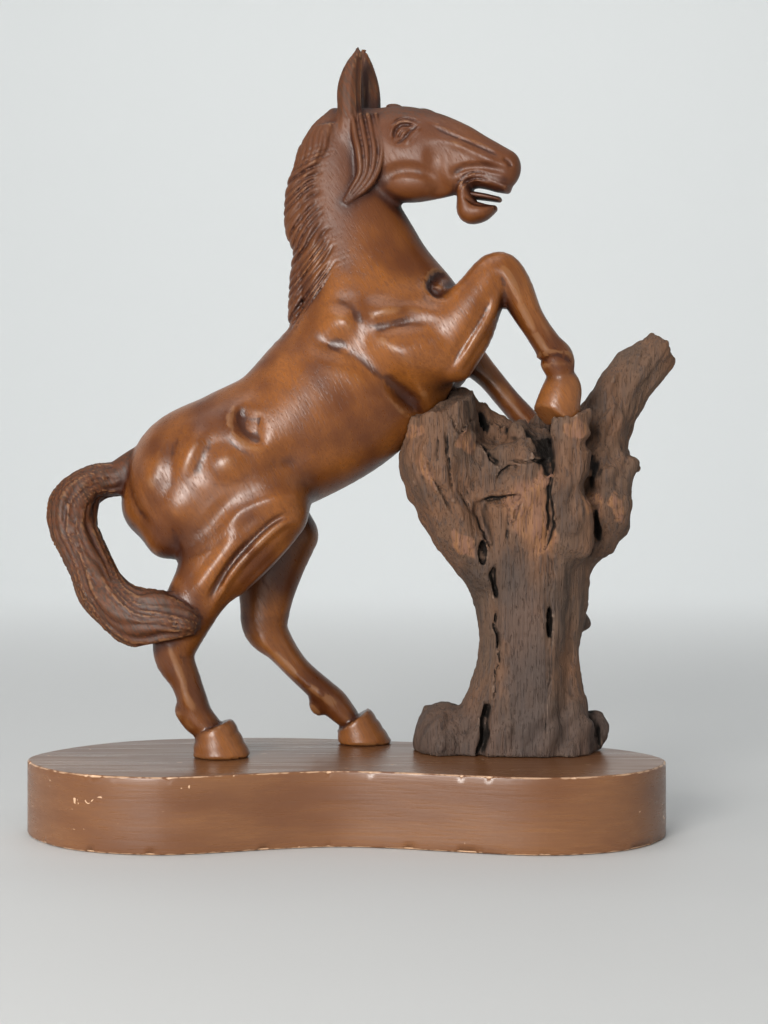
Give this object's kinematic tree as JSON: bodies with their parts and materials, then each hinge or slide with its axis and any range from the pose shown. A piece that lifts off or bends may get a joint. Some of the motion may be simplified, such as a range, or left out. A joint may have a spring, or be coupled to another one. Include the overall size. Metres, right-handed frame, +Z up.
{
  "type": "rearing horse figurine",
  "caption": "Carved wooden horse rearing with its forelegs over a rough tree stump, both fixed on a flat kidney-shaped plinth, as a shelf ornament.",
  "frame": {"origin": "centre of the plinth's underside", "axes": "+Z up, +X the way the horse faces, -Y the side that faces the viewer"},
  "size_m": [0.3277, 0.126, 0.3963],
  "materials": {
    "plinth_wood": "brown stained board under satin lacquer, worn pale along the edges",
    "horse_wood": "stained and polished carving, golden brown on the swellings and dark in the cuts",
    "stump_wood": "dull weathered root wood, grey brown with tan breaks"
  },
  "bodies": {
    "root": {"plinth": "plinth_wood", "horse": "horse_wood", "stump": "stump_wood"}
  },
  "joints": []
}
